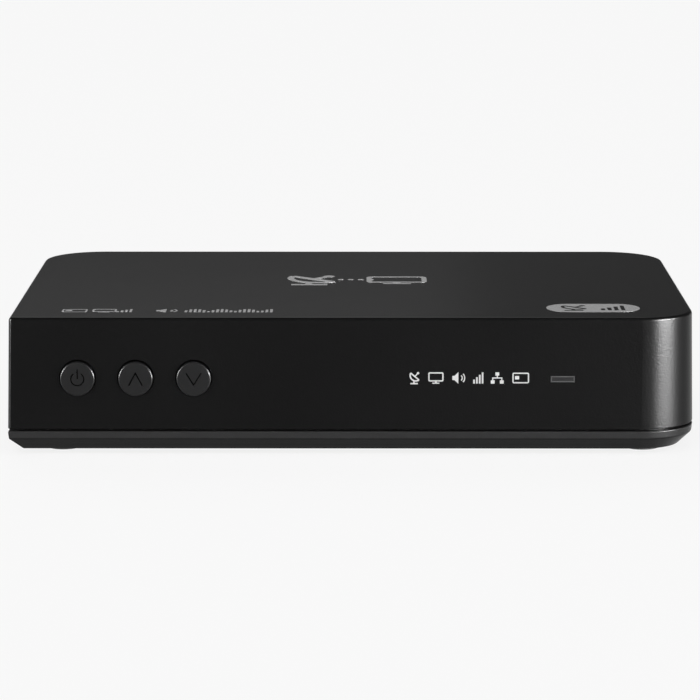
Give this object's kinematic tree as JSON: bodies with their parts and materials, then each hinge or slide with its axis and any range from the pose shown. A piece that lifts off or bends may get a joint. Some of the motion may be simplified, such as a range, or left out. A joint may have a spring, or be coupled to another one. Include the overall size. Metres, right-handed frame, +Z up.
{
  "type": "satellite television receiver",
  "caption": "Low black table-top receiver box with round push buttons and a status window in front, and an aerial stud and sockets behind.",
  "frame": {"origin": "under the middle of the whole box, on the surface that the feet stand on; the box includes the button caps and the aerial stud", "axes": "+X is the viewer's right, +Y points from the front wall to the rear sockets, +Z is up"},
  "size_m": [0.168, 0.1176, 0.0342],
  "materials": {
    "case_plastic": "fine-textured satin black plastic",
    "tray_plastic": "fine-textured satin black plastic, a little greyer",
    "cap_plastic": "satin black button plastic",
    "window_plastic": "smoked translucent plastic",
    "foot_rubber": "matte black rubber",
    "screw_steel": "black-zinc steel",
    "stud_nickel": "nickel-plated brass",
    "panel_plastic": "fine-textured black plastic",
    "socket_plastic": "black moulded socket plastic",
    "socket_steel": "tinned steel",
    "contact_gold": "gold-plated spring wire",
    "insulator_white": "white insulator",
    "board_green": "green circuit board",
    "chip_black": "moulded chip package",
    "can_steel": "tin-plated steel",
    "sink_aluminium": "extruded aluminium",
    "pad_grey": "soft thermal pad",
    "capacitor_sleeve": "shrunk dark sleeve",
    "ferrite_grey": "moulded ferrite",
    "ribbon_white": "flat ribbon",
    "lamp_lens": "tinted lamp lens",
    "sensor_dark": "dark infrared lens"
  },
  "bodies": {
    "receiver": {"top_cover": "case_plastic", "base_tray": "tray_plastic", "feet": "foot_rubber", "case_screws": "screw_steel", "rear_panel": "panel_plastic", "status_window": "window_plastic", "switch_bodies": "chip_black", "infrared_receiver": "sensor_dark", "standby_lamp": "lamp_lens", "front_board": "board_green", "front_board_screws": "screw_steel", "front_link_socket": "insulator_white", "main_link_socket": "insulator_white", "link_ribbon": "ribbon_white", "main_board": "board_green", "board_screws": "screw_steel", "processor": "chip_black", "thermal_pad": "pad_grey", "heat_sink": "sink_aluminium", "memory_chips": "chip_black", "flash_chip": "chip_black", "board_chips": "chip_black", "capacitors": "capacitor_sleeve", "inductors": "ferrite_grey", "crystal": "can_steel", "tuner_frame": "can_steel", "tuner_lid": "can_steel", "tuner_board": "board_green", "tuner_chip": "chip_black", "lnb_stud": "stud_nickel", "lnb_nut": "stud_nickel", "lnb_insulator": "insulator_white", "network_socket": "socket_plastic", "network_contacts": "contact_gold", "video_shell": "socket_steel", "video_tongue": "socket_plastic", "data_shell": "socket_steel", "data_tongue": "socket_plastic", "optical_socket": "socket_plastic", "optical_emitter": "sensor_dark", "audio_jack": "socket_plastic", "power_jack": "socket_plastic", "power_pin": "stud_nickel", "card_reader": "socket_plastic", "card_contacts": "contact_gold"},
    "power_button": {"power_cap": "cap_plastic", "power_plunger": "socket_plastic"},
    "up_button": {"up_cap": "cap_plastic", "up_plunger": "socket_plastic"},
    "down_button": {"down_cap": "cap_plastic", "down_plunger": "socket_plastic"},
    "shutter": {"optical_shutter": "socket_plastic"}
  },
  "joints": [
    {"name": "power_press", "type": "slide", "parent": "receiver", "child": "power_button", "axis": [0, 1, 0], "range_m": [0, 0.0004], "stiffness_N_per_m": 1500, "springref_m": -0.0003},
    {"name": "up_press", "type": "slide", "parent": "receiver", "child": "up_button", "axis": [0, 1, 0], "range_m": [0, 0.0004], "stiffness_N_per_m": 1500, "springref_m": -0.0003},
    {"name": "down_press", "type": "slide", "parent": "receiver", "child": "down_button", "axis": [0, 1, 0], "range_m": [0, 0.0004], "stiffness_N_per_m": 1500, "springref_m": -0.0003},
    {"name": "shutter_swing", "type": "hinge", "parent": "receiver", "child": "shutter", "pos_m": [-0.015, 0.04796, 0.0189], "axis": [-1, 0, 0], "range_deg": [0, 80], "stiffness_Nm_per_rad": 0.0004, "springref_deg": -28.65}
  ]
}
